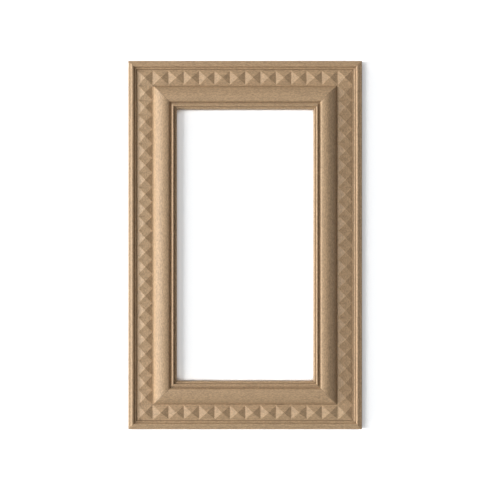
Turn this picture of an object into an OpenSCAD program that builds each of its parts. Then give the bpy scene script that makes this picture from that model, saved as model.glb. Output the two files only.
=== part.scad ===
// Wall mirror frame with a pyramid band, built up from mitred mouldings on a joined core frame.
// Units are millimetres. X is across, Z is up, the front faces -Y and the back lies on y = 0.
// The origin is midway between the two keyhole hangers, on the wall.
// Profiles are drawn with x as the distance in from the outer edge and y as the height off the wall.

/* [Frame] */
// Outer width of the frame
frame_w = 600; // [500:5:800]
// Outer height of the frame
frame_h = 946; // [800:1:1300]
// Width of the mirror's rebate
rebate_w = 7.5; // [5:0.5:10]
// Joint line between neighbouring mouldings
joint_gap = 0.5; // [0.2:0.1:0.8]

/* [Core frame] */
// Thickness of the core members
core_t = 12; // [10.5:0.5:18]
// Length of a corner spline along the mitre
spline_l = 52; // [30:1:60]
// Width of a corner spline across the mitre
spline_w = 38; // [20:1:44]
// Thickness of a corner spline
spline_t = 3; // [2:0.5:4]
// Distance from the outer edges to the middle of a spline
spline_in = 44; // [38:1:48]
// Clearance all round a spline in its slot
spline_gap = 0.15; // [0.1:0.05:0.3]

/* [Outer moulding] */
// Width of the leg that covers the core's edge
leg_w = 6; // [4:0.5:8]
// Width of the sloping outer edge
slope_w = 7.2; // [5:0.1:9]
// Fall of the slope, down to the bevel
slope_fall = 1.1; // [0.6:0.1:3]
// Width of the bevel outside the slope
edge_w = 1.6; // [1:0.1:3]
// Fall of that bevel
edge_fall = 1; // [0.6:0.1:4]
// Width of the outer bead
bead_w = 8.7; // [7:0.1:9]
// Distance from the slope to the bead's crest
bead_off = 4.1; // [3:0.1:4.5]
// Radius of the outer bead
bead_r = 5; // [4.8:0.1:7]
// Rise of the bead's crest above the core
bead_rise = 11; // [10:0.5:16]
// Width of the groove beside the bead
groove_w = 1.2; // [0.4:0.1:1.5]
// Depth of that groove
groove_d = 1.4; // [0.5:0.1:2]
// Width of the small inner round
round_w = 5.2; // [4:0.1:7]
// Radius of the small inner round
round_r = 4.6; // [3.8:0.1:5.2]
// Rise of the inner round above the core
round_rise = 6; // [5.3:0.1:7]
// Rise of the floor between the inner round and the band
crevice_rise = 2.4; // [1.6:0.1:3.4]

/* [Pyramid band] */
// Width of the band
band_w = 40.5; // [34:0.1:46]
// Thickness of the band's ground
band_t = 4; // [2.5:0.5:6]
// Height of a pyramid above its ground
pyramid_h = 5.5; // [3:0.1:8]
// Flat margin between the pyramids and the band's edges
margin_w = 2.5; // [1:0.1:4]
// Length that one pyramid is to take, about
pyramid_pitch = 38; // [30:0.5:50]

/* [Main moulding] */
// Distance from the moulding's foot to its crest
foot_w = 31.9; // [27:0.1:33]
// Distance from the crest to the start of the inner round
past_w = 7.6; // [5:0.1:10]
// Radius of the moulding's face
main_r = 35; // [33.5:0.5:50]
// Rise of the crest above the core
crest_rise = 24; // [20:0.5:30]
// Radius of the inner round
turn_r = 6.5; // [3:0.1:8]

/* [Sight slip] */
// Joint line between the main moulding and the slip
slip_gap = 0.3; // [0.1:0.1:0.6]
// Width of the floor beside the slip's bead
floor_w = 4.45; // [2:0.05:6]
// Rise of that floor above the core
floor_rise = 16.3; // [14:0.1:18]
// Radius of the slip's bead
slip_r = 3; // [2.5:0.1:3.5]
// Rise of the slip's bead above the core
slip_rise = 22; // [19.5:0.1:23.5]
// Distance from the bead's crest to the sight edge's round
slip_past = 4.9; // [3.7:0.1:6]
// Depth of the groove between the bead and that round
quirk_d = 1; // [0.4:0.1:2]
// Radius of the sight edge's round
sight_r = 3.46; // [3:0.02:7]
// Rise of the sight edge above the core
sight_rise = 16; // [13:0.1:17]
// Relief of the lip where the mirror rests on it
lip_relief = 0.5; // [0.2:0.1:2]

/* [Tongues] */
// Distance from the leg to the outer tongue
outer_tongue_off = 5; // [3:0.5:7]
// Width of the outer tongue
outer_tongue_w = 4; // [3:0.5:6]
// Distance from the main moulding's foot to its tongue
main_tongue_off = 8; // [5:0.5:10]
// Width of the main tongue
main_tongue_w = 8; // [4:0.5:9]
// Depth of the tongues
tongue_d = 3; // [2:0.5:3.5]
// Clearance beside a tongue in its groove
tongue_gap = 0.2; // [0.1:0.05:0.4]
// Clearance under a tongue
tongue_under = 0.3; // [0.1:0.1:0.6]

/* [Turn buttons] */
// Distance from the rebate to a button's pivot
pivot_back = 14; // [12:0.5:17]
// Width of a turn button
button_w = 11; // [9:0.5:14]
// Thickness of a turn button
button_t = 2; // [1.5:0.1:2.5]
// Reach of the long arm from the pivot
long_arm = 19.5; // [18:0.5:21]
// Reach of the short arm from the pivot
short_arm = 9; // [8:0.5:12]
// Gap between a button's face and the recess
button_gap = 0.4; // [0.3:0.1:0.6]
// Gap between a button's swing and the recess
swing_gap = 1.5; // [0.5:0.5:3]
// Distance of the buttons from the rebate's corners on the top and bottom
rail_button_in = 93; // [60:1:100]
// Distance of the buttons from the rebate's corners on the sides
stile_button_in = 126; // [80:1:180]

/* [Button screws] */
// Radius of the screw shank
pin_r = 1.75; // [1.5:0.05:2.2]
// Running clearance of the button on its screw
pin_gap = 0.08; // [0.02:0.01:0.1]
// Radius of the screw head
head_r = 3.6; // [3.2:0.1:4.5]
// Thickness of the screw head
head_t = 1.5; // [1.2:0.1:2]
// Gap between the head and the button
head_gap = 0.3; // [0.3:0.1:0.5]
// Depth of the head's face below the frame's back
head_sink = 0.8; // [0.3:0.1:1.5]
// Wood left in front of a screw or pocket
skin = 2; // [1.5:0.5:3]
// Clearance of a screw in its pilot hole
pilot_gap = 0.05; // [0.02:0.01:0.1]
// Length of a driving slot
drive_l = 4; // [3:0.1:5]
// Width of a driving slot
drive_w = 0.7; // [0.5:0.1:1]
// Depth of a driving slot
drive_d = 0.8; // [0.5:0.1:1]

/* [Hangers] */
// Distance from the top edge down to the hanging line
hang_drop = 150; // [130:5:250]
// Distance from the outer edge to the hangers
hanger_in = 44; // [40:1:48]
// Width of a hanger plate
plate_w = 16; // [14:1:20]
// Length of a hanger plate
plate_l = 54; // [50:1:60]
// Thickness of a hanger plate
plate_t = 2; // [1.8:0.1:3]
// Clearance round a plate in its housing
plate_gap = 0.1; // [0.05:0.05:0.3]
// Radius of the keyhole's round end
key_r = 5; // [4:0.25:6]
// Half width of the keyhole's slot
slot_r = 2.4; // [2:0.1:3]
// Rise of the keyhole's slot
slot_up = 12; // [9:1:14]
// Room round the keyhole in the pocket behind it
pocket_gap = 1.5; // [1:0.5:3]
// Distance from a plate's end to its screw
screw_end = 7; // [6:0.5:9]
// Radius of a hanger screw's shank
plate_screw_r = 1.75; // [1.5:0.05:2.2]
// Radius of a hanger screw's head
plate_head_r = 3.5; // [3:0.1:4]
// Height of a hanger screw's head
plate_head_t = 1.6; // [1.2:0.1:1.7]
// Clearance of a hanger screw in the plate
plate_screw_gap = 0.1; // [0.05:0.05:0.2]

/* [Colours] */
// Face wood
face_colour = [0.67, 0.55, 0.43];
// Core wood
core_colour = [0.74, 0.63, 0.48];
// Spline wood
spline_colour = [0.55, 0.42, 0.30];
// Steel
steel_colour = [0.62, 0.62, 0.60];
// Brass
brass_colour = [0.72, 0.58, 0.30];

/* [Hidden] */
$fn = 96;
lap = 0.5;
spare = 10;
bead_in = slope_w + bead_off;
bead_v = core_t + bead_rise - bead_r;
slope_v = bead_v + sqrt(bead_r * bead_r - bead_off * bead_off);
groove_in = slope_w + bead_w;
round_in = groove_in + groove_w;
round_v = core_t + round_rise - round_r;
groove_v = core_t + round_rise - groove_d;
outer_w = round_in + round_w;
outer_tongue_in = leg_w + outer_tongue_off;
band_in = outer_w + joint_gap;
band_end = band_in + band_w;
band_mid = band_in + band_w / 2;
band_v = core_t + band_t;
roof_w = band_w - 2 * margin_w;
main_in = band_end + joint_gap;
main_tongue_in = main_in + main_tongue_off;
crest_in = main_in + foot_w;
crest_v = core_t + crest_rise;
main_v = crest_v - main_r;
turn_in = crest_in + past_w;
turn_lift = 0.02;
turn_sin = past_w / main_r;
turn_cos = sqrt(1 - turn_sin * turn_sin);
turn_x = turn_in - turn_r * turn_sin;
turn_v = main_v + (main_r - turn_r) * turn_cos + turn_lift;
main_end = turn_x + turn_r;
slip_start = main_end + slip_gap;
slip_in = slip_start + floor_w + slip_r;
slip_v = core_t + slip_rise - slip_r;
slip_floor = core_t + floor_rise;
sight_in = slip_in + slip_past;
sight_v = core_t + sight_rise - sight_r;
quirk_v = core_t + sight_rise - quirk_d;
face_w = sight_in + sight_r;
core_end = face_w - rebate_w;
seat_v = core_t + lip_relief;
spline_v = (core_t - tongue_d - tongue_under - spline_t) / 2;
pivot_in = core_end - pivot_back;
recess_in = pivot_in - long_arm - swing_gap;
head_v = head_sink + head_t;
button_v = head_v + head_gap;
recess_d = button_v + button_t + button_gap;
rail_button_x = frame_w / 2 - core_end - rail_button_in;
stile_button_z = frame_h / 2 - core_end - stile_button_in;
middle_z = hang_drop - frame_h / 2;
hanger_x = frame_w / 2 - hanger_in;
plate_rise = (slot_up + slot_r - key_r) / 2;
plate_half = (plate_l - plate_w) / 2;
pocket_r = key_r + pocket_gap;

// Places

// Puts what is drawn for the top edge of the frame on one of its four sides
module on_side(turn, half) {
  translate([0, 0, middle_z]) rotate([0, turn, 0]) translate([0, 0, half]) children();
}

module on_top() {
  on_side(0, frame_h / 2) children();
}

module on_bottom() {
  on_side(180, frame_h / 2) children();
}

module on_left() {
  on_side(-90, frame_w / 2) children();
}

module on_right() {
  on_side(90, frame_w / 2) children();
}

// Puts a body drawn in a profile's own axes on the top edge
module from_profile() {
  rotate([0, 90, 180]) children();
}

// The wedge between the two mitres of a side
module mitre_wedge(side_l) {
  inner = face_w + spare;
  translate([0, crest_v + spare, 0])
    rotate([90, 0, 0])
      linear_extrude(height = crest_v + 2 * spare)
        polygon([
          [-spare, -side_l / 2 - spare], [inner, -side_l / 2 + inner],
          [inner, side_l / 2 - inner], [-spare, side_l / 2 + spare]
        ]);
}

// A length of moulding with mitred ends
module mitred(side_l) {
  from_profile()
    intersection() {
      linear_extrude(height = side_l + spare, center = true) children();
      mitre_wedge(side_l);
    }
}

// Profiles

// A rectangle from one height to another
module slab(x0, x1, y0, y1) {
  translate([x0, y0]) square([x1 - x0, y1 - y0]);
}

module core_profile() {
  difference() {
    slab(leg_w, core_end, 0, core_t);
    slab(recess_in, core_end + lap, -lap, recess_d);
    slab(
      outer_tongue_in - tongue_gap, outer_tongue_in + outer_tongue_w + tongue_gap,
      core_t - tongue_d - tongue_under, core_t + lap
    );
    slab(
      main_tongue_in - tongue_gap, main_tongue_in + main_tongue_w + tongue_gap,
      core_t - tongue_d - tongue_under, core_t + lap
    );
  }
}

module outer_profile() {
  polygon([
    [0, 0], [leg_w, 0], [leg_w, core_t], [slope_w + lap, core_t],
    [slope_w + lap, slope_v - lap], [slope_w, slope_v],
    [edge_w, slope_v - slope_fall], [0, slope_v - slope_fall - edge_fall]
  ]);
  intersection() {
    translate([bead_in, bead_v]) circle(r = bead_r);
    slab(slope_w, groove_in, bead_v, bead_v + bead_r + lap);
  }
  slab(slope_w, groove_in, core_t, bead_v + lap);
  slab(slope_w, round_in + lap, core_t, groove_v);
  intersection() {
    translate([round_in, round_v]) circle(r = round_r);
    slab(round_in, outer_w, core_t, core_t + round_rise + lap);
  }
  slab(round_in, outer_w, core_t, core_t + crevice_rise);
  slab(outer_tongue_in, outer_tongue_in + outer_tongue_w, core_t - tongue_d, core_t + lap);
}

module main_profile() {
  intersection() {
    translate([crest_in, main_v]) circle(r = main_r);
    slab(main_in, turn_in, core_t, crest_v + lap);
  }
  intersection() {
    translate([turn_x, turn_v]) circle(r = turn_r);
    slab(turn_x, main_end, turn_v - lap, crest_v + lap);
  }
  slab(turn_x, main_end, core_t, turn_v);
  slab(main_tongue_in, main_tongue_in + main_tongue_w, core_t - tongue_d, core_t + lap);
}

module slip_profile() {
  slab(slip_start, core_end, core_t, quirk_v);
  slab(slip_start, sight_in + lap, seat_v, quirk_v);
  slab(slip_start, slip_in, seat_v, slip_floor);
  slab(slip_in - slip_r, slip_in + slip_r, seat_v, slip_v);
  intersection() {
    translate([slip_in, slip_v]) circle(r = slip_r);
    slab(slip_in - slip_r, slip_in + slip_r, slip_v - lap, slip_v + slip_r + lap);
  }
  slab(sight_in - lap, face_w, seat_v, sight_v);
  intersection() {
    translate([sight_in, sight_v]) circle(r = sight_r);
    slab(sight_in, face_w, sight_v - lap, sight_v + sight_r + lap);
  }
}

// The band seen from its end: flat margins and one roof
module roof_profile() {
  polygon([
    [band_in, core_t], [band_end, core_t], [band_end, band_v], [band_mid + roof_w / 2, band_v],
    [band_mid, band_v + pyramid_h], [band_mid - roof_w / 2, band_v], [band_in, band_v]
  ]);
}

// The band seen from its side: a row of even teeth between two corner teeth
module teeth_profile(side_l) {
  row_l = side_l - 2 * band_end;
  count = round(row_l / pyramid_pitch);
  pitch = row_l / count;
  corner = side_l / 2 - band_mid;
  polygon(concat(
    [[side_l / 2 + lap, core_t], [side_l / 2 + lap, band_v], [corner + roof_w / 2, band_v]],
    [[corner, band_v + pyramid_h], [corner - roof_w / 2, band_v]],
    [
      for (i = [0 : 2 * count])
        [row_l / 2 - i * pitch / 2, band_v + (i % 2) * pyramid_h]
    ],
    [[-corner + roof_w / 2, band_v], [-corner, band_v + pyramid_h]],
    [[-corner - roof_w / 2, band_v], [-side_l / 2 - lap, band_v], [-side_l / 2 - lap, core_t]]
  ));
}

// Pieces

module core(side_l) {
  mitred(side_l) core_profile();
}

// A spline, or with a clearance its slot, in the top right corner or turned to another
module spline(right, up, gap) {
  translate([right * (frame_w / 2 - spline_in), -spline_v - spline_t / 2,
    middle_z + up * (frame_h / 2 - spline_in)])
    rotate([0, -45 * right * up, 0])
      cube([spline_l + 2 * gap, spline_t + 2 * gap, spline_w + 2 * gap], center = true);
}

module spline_slots() {
  spline(-1, 1, spline_gap);
  spline(1, 1, spline_gap);
  spline(-1, -1, spline_gap);
  spline(1, -1, spline_gap);
}

module band(side_l) {
  intersection() {
    mitred(side_l) roof_profile();
    rotate([180, 0, 0]) linear_extrude(height = band_end + lap) teeth_profile(side_l);
  }
}

// A disc or rod standing on the back face, from one height to another
module rod(r, v0, v1) {
  translate([0, -v0, 0]) rotate([90, 0, 0]) cylinder(r = r, h = v1 - v0);
}

// A flat piece standing on the back face
module flat(v0, v1) {
  translate([0, -v0, 0]) rotate([90, 0, 0]) linear_extrude(height = v1 - v0) children();
}

module button_profile() {
  difference() {
    union() {
      translate([long_arm - button_w / 2, 0]) circle(d = button_w);
      translate([-short_arm + button_w / 2, 0]) circle(d = button_w);
      translate([-short_arm + button_w / 2, -button_w / 2])
        square([long_arm + short_arm - button_w, button_w]);
    }
    circle(r = pin_r + pin_gap);
  }
}

// A turn button on the top edge, parked along the moulding with its long arm aimed one way
module button(along, aim) {
  color(brass_colour)
    translate([along, 0, -pivot_in])
      rotate([0, 90 - 90 * aim, 0])
        flat(button_v, button_v + button_t) button_profile();
}

module drive_cross(v0) {
  translate([0, -v0, 0]) cube([drive_l, 2 * drive_d, drive_w], center = true);
  translate([0, -v0, 0]) cube([drive_w, 2 * drive_d, drive_l], center = true);
}

module button_screw(along) {
  translate([along, 0, -pivot_in])
    difference() {
      union() {
        rod(head_r, head_sink, head_v);
        rod(pin_r, head_v - lap, core_t - skin);
      }
      drive_cross(head_sink);
    }
}

module button_pilot(along) {
  translate([along, 0, -pivot_in]) rod(pin_r + pilot_gap, recess_d - lap, core_t - skin + pilot_gap);
}

module rail_pilots() {
  button_pilot(-rail_button_x);
  button_pilot(rail_button_x);
}

module stile_pilots() {
  button_pilot(-stile_button_z);
  button_pilot(0);
  button_pilot(stile_button_z);
}

// A plate's outline, or with a clearance its housing's
module plate_profile(gap) {
  wide = plate_w + 2 * gap;
  translate([0, plate_rise - plate_half]) circle(d = wide);
  translate([0, plate_rise + plate_half]) circle(d = wide);
  translate([-wide / 2, plate_rise - plate_half]) square([wide, 2 * plate_half]);
}

module keyhole_profile() {
  circle(r = key_r);
  translate([0, slot_up]) circle(r = slot_r);
  translate([-slot_r, 0]) square([2 * slot_r, slot_up]);
}

module pocket_profile() {
  circle(r = pocket_r);
  translate([0, slot_up]) circle(r = pocket_r);
  translate([-pocket_r, 0]) square([2 * pocket_r, slot_up]);
}

// Puts a child at the two screw places of a plate
module at_plate_screws() {
  for (end = [-1, 1])
    translate([0, 0, plate_rise + end * (plate_l / 2 - screw_end)]) children();
}

// A countersunk cone that is widest at the back
module sink(r_wide, r_narrow, v0, v1) {
  translate([0, -v0, 0]) rotate([90, 0, 0]) cylinder(r1 = r_wide, r2 = r_narrow, h = v1 - v0);
}

module hanger(side) {
  color(steel_colour)
    translate([side * hanger_x, 0, 0])
      difference() {
        flat(0, plate_t) plate_profile(0);
        flat(-lap, plate_t + lap) keyhole_profile();
        at_plate_screws() rod(plate_screw_r + plate_screw_gap, -lap, plate_t + lap);
        at_plate_screws()
          sink(plate_head_r + plate_screw_gap, plate_screw_r + plate_screw_gap, 0, plate_head_t);
      }
}

module hanger_screw() {
  difference() {
    union() {
      sink(plate_head_r, plate_screw_r, 0, plate_head_t);
      rod(plate_screw_r, plate_head_t - lap, core_t - skin);
    }
    drive_cross(0);
  }
}

// What is cut from the back of a stile for its hanger
module hanger_seat(side) {
  translate([side * hanger_x, 0, 0]) {
    flat(-lap, plate_t) plate_profile(plate_gap);
    flat(-lap, core_t - skin) pocket_profile();
    at_plate_screws() rod(plate_screw_r + pilot_gap, 0, core_t - skin + pilot_gap);
  }
}

// Sub-parts

module core_top() {
  color(core_colour)
    difference() {
      on_top() core(frame_w);
      spline_slots();
      on_top() rail_pilots();
    }
}

module core_bottom() {
  color(core_colour)
    difference() {
      on_bottom() core(frame_w);
      spline_slots();
      on_bottom() rail_pilots();
    }
}

module core_left() {
  color(core_colour)
    difference() {
      on_left() core(frame_h);
      spline_slots();
      on_left() stile_pilots();
      hanger_seat(-1);
    }
}

module core_right() {
  color(core_colour)
    difference() {
      on_right() core(frame_h);
      spline_slots();
      on_right() stile_pilots();
      hanger_seat(1);
    }
}

module spline_top_left() {
  color(spline_colour) spline(-1, 1, 0);
}

module spline_top_right() {
  color(spline_colour) spline(1, 1, 0);
}

module spline_bottom_left() {
  color(spline_colour) spline(-1, -1, 0);
}

module spline_bottom_right() {
  color(spline_colour) spline(1, -1, 0);
}

module outer_top() {
  color(face_colour) on_top() mitred(frame_w) outer_profile();
}

module outer_bottom() {
  color(face_colour) on_bottom() mitred(frame_w) outer_profile();
}

module outer_left() {
  color(face_colour) on_left() mitred(frame_h) outer_profile();
}

module outer_right() {
  color(face_colour) on_right() mitred(frame_h) outer_profile();
}

module band_top() {
  color(face_colour) on_top() band(frame_w);
}

module band_bottom() {
  color(face_colour) on_bottom() band(frame_w);
}

module band_left() {
  color(face_colour) on_left() band(frame_h);
}

module band_right() {
  color(face_colour) on_right() band(frame_h);
}

module main_top() {
  color(face_colour) on_top() mitred(frame_w) main_profile();
}

module main_bottom() {
  color(face_colour) on_bottom() mitred(frame_w) main_profile();
}

module main_left() {
  color(face_colour) on_left() mitred(frame_h) main_profile();
}

module main_right() {
  color(face_colour) on_right() mitred(frame_h) main_profile();
}

module slip_top() {
  color(face_colour) on_top() mitred(frame_w) slip_profile();
}

module slip_bottom() {
  color(face_colour) on_bottom() mitred(frame_w) slip_profile();
}

module slip_left() {
  color(face_colour) on_left() mitred(frame_h) slip_profile();
}

module slip_right() {
  color(face_colour) on_right() mitred(frame_h) slip_profile();
}

module button_top_left() {
  on_top() button(-rail_button_x, -1);
}

module button_top_right() {
  on_top() button(rail_button_x, 1);
}

module button_bottom_left() {
  on_bottom() button(rail_button_x, 1);
}

module button_bottom_right() {
  on_bottom() button(-rail_button_x, -1);
}

module button_left_upper() {
  on_left() button(stile_button_z, 1);
}

module button_left_middle() {
  on_left() button(0, 1);
}

module button_left_lower() {
  on_left() button(-stile_button_z, 1);
}

module button_right_upper() {
  on_right() button(-stile_button_z, -1);
}

module button_right_middle() {
  on_right() button(0, -1);
}

module button_right_lower() {
  on_right() button(stile_button_z, -1);
}

module button_screws() {
  color(brass_colour) {
    for (end = [-1, 1]) {
      on_top() button_screw(end * rail_button_x);
      on_bottom() button_screw(end * rail_button_x);
    }
    for (step = [-1 : 1]) {
      on_left() button_screw(step * stile_button_z);
      on_right() button_screw(step * stile_button_z);
    }
  }
}

module hanger_left() {
  hanger(-1);
}

module hanger_right() {
  hanger(1);
}

module hanger_screws() {
  color(steel_colour)
    for (side = [-1, 1])
      translate([side * hanger_x, 0, 0]) at_plate_screws() hanger_screw();
}

core_top();
core_bottom();
core_left();
core_right();
spline_top_left();
spline_top_right();
spline_bottom_left();
spline_bottom_right();
outer_top();
outer_bottom();
outer_left();
outer_right();
band_top();
band_bottom();
band_left();
band_right();
main_top();
main_bottom();
main_left();
main_right();
slip_top();
slip_bottom();
slip_left();
slip_right();
button_top_left();
button_top_right();
button_bottom_left();
button_bottom_right();
button_left_upper();
button_left_middle();
button_left_lower();
button_right_upper();
button_right_middle();
button_right_lower();
button_screws();
hanger_left();
hanger_right();
hanger_screws();
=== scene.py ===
import math

import bmesh
import bpy
from mathutils import Matrix, Vector


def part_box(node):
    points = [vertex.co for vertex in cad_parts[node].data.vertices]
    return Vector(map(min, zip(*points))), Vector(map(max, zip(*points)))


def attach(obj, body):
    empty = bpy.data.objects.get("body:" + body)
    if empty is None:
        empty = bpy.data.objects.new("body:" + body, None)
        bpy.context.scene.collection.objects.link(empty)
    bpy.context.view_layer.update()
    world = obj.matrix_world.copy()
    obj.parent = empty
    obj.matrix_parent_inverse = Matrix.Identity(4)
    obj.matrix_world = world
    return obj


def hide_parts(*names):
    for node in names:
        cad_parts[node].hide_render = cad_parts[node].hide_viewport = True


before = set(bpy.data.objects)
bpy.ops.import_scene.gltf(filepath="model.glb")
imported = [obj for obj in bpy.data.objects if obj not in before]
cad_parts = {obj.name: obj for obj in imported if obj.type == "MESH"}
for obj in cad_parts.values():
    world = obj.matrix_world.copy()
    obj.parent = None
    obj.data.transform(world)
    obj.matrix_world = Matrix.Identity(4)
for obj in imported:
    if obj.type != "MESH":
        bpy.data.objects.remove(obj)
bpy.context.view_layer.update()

bl_info = {
    "name": "Pyramid Band Mirror Frame",
    "version": (1, 0, 0),
    "blender": (4, 5, 0),
    "location": "3D View > Sidebar > Mirror Frame",
    "description": "Dresses a joined mirror frame with its mouldings, fittings, finishes and stage",
    "category": "Add Mesh",
}

MM = 0.001

# Turns a primitive's top to the front, away from the wall.
FACING = (math.pi / 2, 0, 0)

# The frame's outline, read from the outer mouldings.
LEFT_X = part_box("outer_left")[0].x
RIGHT_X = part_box("outer_right")[1].x
BOTTOM_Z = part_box("outer_bottom")[0].z
TOP_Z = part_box("outer_top")[1].z
FRAME_W = RIGHT_X - LEFT_X
FRAME_H = TOP_Z - BOTTOM_Z
MIDDLE_Z = (TOP_Z + BOTTOM_Z) / 2

# Distances in from the outer edge (u) and off the wall (v), in millimetres: the core's front, the
# tongues that sit in it, and where each moulding starts and ends.
CORE_V = 12.0
LEG_END = 6.0
TONGUE_V = 9.0
OUTER_TONGUE = (11.0, 15.0)
BAND = (22.8, 63.3)
BAND_V = 16.0
PYRAMIDS = (25.3, 60.8)
MAIN_START = 63.8
MAIN_TONGUE = (71.8, 79.8)
CREST_V = 36.0
SLIP_START = 108.689
SIGHT_END = 124.499
REBATE_START = 117.0
LIP_V = 12.5

# The fittings, in millimetres: the buttons' pivots, the hanger plates' middles, how far a plate's
# screws are from its middle, and how deep their heads are sunk.
PIVOT_U = 103.0
HANGER_X = 256.0
PLATE_MID_Z = 4.7
PLATE_SCREWS = (-20, 20)
SINK_V = 1.6

# In metres: places that count as the same, points that are merged, how near a swept edge keeps to
# its path and a pyramid to its cell, and how far a piece's box may be off its solid's.
SAME_PLACE = 1e-6
MERGED = 2e-6
ON_PATH = 1e-5
ON_CELL = 1e-4
BOX_PLAY = 0.35 * MM

# Degrees between two faces: under the first three they are shaded as one, and over the others
# their edge is eased. The Y of a normal that looks straight to the front is below TO_FRONT.
MOULDING_SMOOTH, BAND_SMOOTH, FITTING_SMOOTH = 7, 4, 32
MOULDING_SHARP, BAND_SHARP, FITTING_SHARP = 25, 60, 50
TO_FRONT = -0.99

# How a side of the frame is turned from the top one, its length and its distance from the middle.
SIDES = {
    "top": (0, FRAME_W, FRAME_H / 2),
    "bottom": (180, FRAME_W, FRAME_H / 2),
    "left": (-90, FRAME_H, FRAME_W / 2),
    "right": (90, FRAME_H, FRAME_W / 2),
}

# Each turn button: its side, its place along it in millimetres, and which way its long arm goes.
BUTTONS = {
    "top_left": ("top", -90, -1),
    "top_right": ("top", 90, 1),
    "bottom_left": ("bottom", 90, 1),
    "bottom_right": ("bottom", -90, -1),
    "left_upper": ("left", 230, 1),
    "left_middle": ("left", 0, 1),
    "left_lower": ("left", -230, 1),
    "right_upper": ("right", -230, -1),
    "right_middle": ("right", 0, -1),
    "right_lower": ("right", 230, -1),
}


# Settings


class MirrorFrameMouldings(bpy.types.PropertyGroup):
    """Sizes of the carved and run wood"""

    bead_radius: bpy.props.FloatProperty(
        name="Outer bead radius", description="Radius of the round bead near the outer edge",
        default=5 * MM, min=4.8 * MM, max=7 * MM, unit="LENGTH", precision=4,
    )
    face_radius: bpy.props.FloatProperty(
        name="Main face radius", description="Radius of the broad face that rises to the crest",
        default=35 * MM, min=33.5 * MM, max=50 * MM, unit="LENGTH", precision=4,
    )
    turn_radius: bpy.props.FloatProperty(
        name="Inner round radius", description="Radius where the main face turns down to the slip",
        default=6.5 * MM, min=3 * MM, max=8 * MM, unit="LENGTH", precision=4,
    )
    pyramid_height: bpy.props.FloatProperty(
        name="Pyramid height", description="Height of a carved pyramid above its ground",
        default=5.5 * MM, min=3 * MM, max=8 * MM, unit="LENGTH", precision=4,
    )
    rail_pyramids: bpy.props.IntProperty(
        name="Pyramids on a rail", description="Pyramids between the corner ones, top and bottom",
        default=12, min=6, max=24,
    )
    stile_pyramids: bpy.props.IntProperty(
        name="Pyramids on a stile", description="Pyramids between the corner ones on each side",
        default=22, min=8, max=40,
    )
    arris_ease: bpy.props.FloatProperty(
        name="Eased arris", description="Width taken off a sharp arris by sanding",
        default=0.25 * MM, min=0.05 * MM, max=0.6 * MM, unit="LENGTH", precision=5,
    )
    pyramid_ease: bpy.props.FloatProperty(
        name="Eased pyramid arris", description="Width taken off the arrises of a pyramid",
        default=0.5 * MM, min=0.05 * MM, max=0.8 * MM, unit="LENGTH", precision=5,
    )
    seam_width: bpy.props.FloatProperty(
        name="Mitre line", description="Width of the darker line on each side of a mitre",
        default=0.25 * MM, min=0.05 * MM, max=1 * MM, unit="LENGTH", precision=5,
    )


class MirrorFrameFittings(bpy.types.PropertyGroup):
    """Sizes of the metal fittings"""

    rim_ease: bpy.props.FloatProperty(
        name="Button rim", description="Rounding of a turn button's rim",
        default=0.4 * MM, min=0.1 * MM, max=0.9 * MM, unit="LENGTH", precision=5,
    )
    head_dome: bpy.props.FloatProperty(
        name="Screw head rounding", description="Rounding of a button screw's head",
        default=0.95 * MM, min=0.2 * MM, max=1.4 * MM, unit="LENGTH", precision=5,
    )
    drive_width: bpy.props.FloatProperty(
        name="Drive slot width", description="Width of the driving slots in the screw heads",
        default=0.7 * MM, min=0.5 * MM, max=1 * MM, unit="LENGTH", precision=5,
    )
    plate_ease: bpy.props.FloatProperty(
        name="Hanger rim", description="Rounding of a hanger plate's rim",
        default=0.35 * MM, min=0.1 * MM, max=0.8 * MM, unit="LENGTH", precision=5,
    )


class MirrorFrameFinishes(bpy.types.PropertyGroup):
    """Colours of the woods and metals"""

    face_wood: bpy.props.FloatVectorProperty(
        name="Face wood", description="Colour of the mouldings and the carved band",
        subtype="COLOR", size=3, default=(0.468, 0.318, 0.185), min=0, max=1,
    )
    core_wood: bpy.props.FloatVectorProperty(
        name="Core wood", description="Colour of the frame that carries the mouldings",
        subtype="COLOR", size=3, default=(0.56, 0.40, 0.24), min=0, max=1,
    )
    spline_wood: bpy.props.FloatVectorProperty(
        name="Spline wood", description="Colour of the keys across the mitres",
        subtype="COLOR", size=3, default=(0.27, 0.155, 0.085), min=0, max=1,
    )
    brass: bpy.props.FloatVectorProperty(
        name="Brass", description="Colour of the turn buttons and their screws",
        subtype="COLOR", size=3, default=(0.58, 0.40, 0.15), min=0, max=1,
    )
    steel: bpy.props.FloatVectorProperty(
        name="Plated steel", description="Colour of the hangers and their screws",
        subtype="COLOR", size=3, default=(0.38, 0.385, 0.385), min=0, max=1,
    )
    fleck: bpy.props.FloatProperty(
        name="Fleck", description="How strongly the wood's short flecks show",
        default=1.0, min=0, max=2, subtype="FACTOR",
    )


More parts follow.
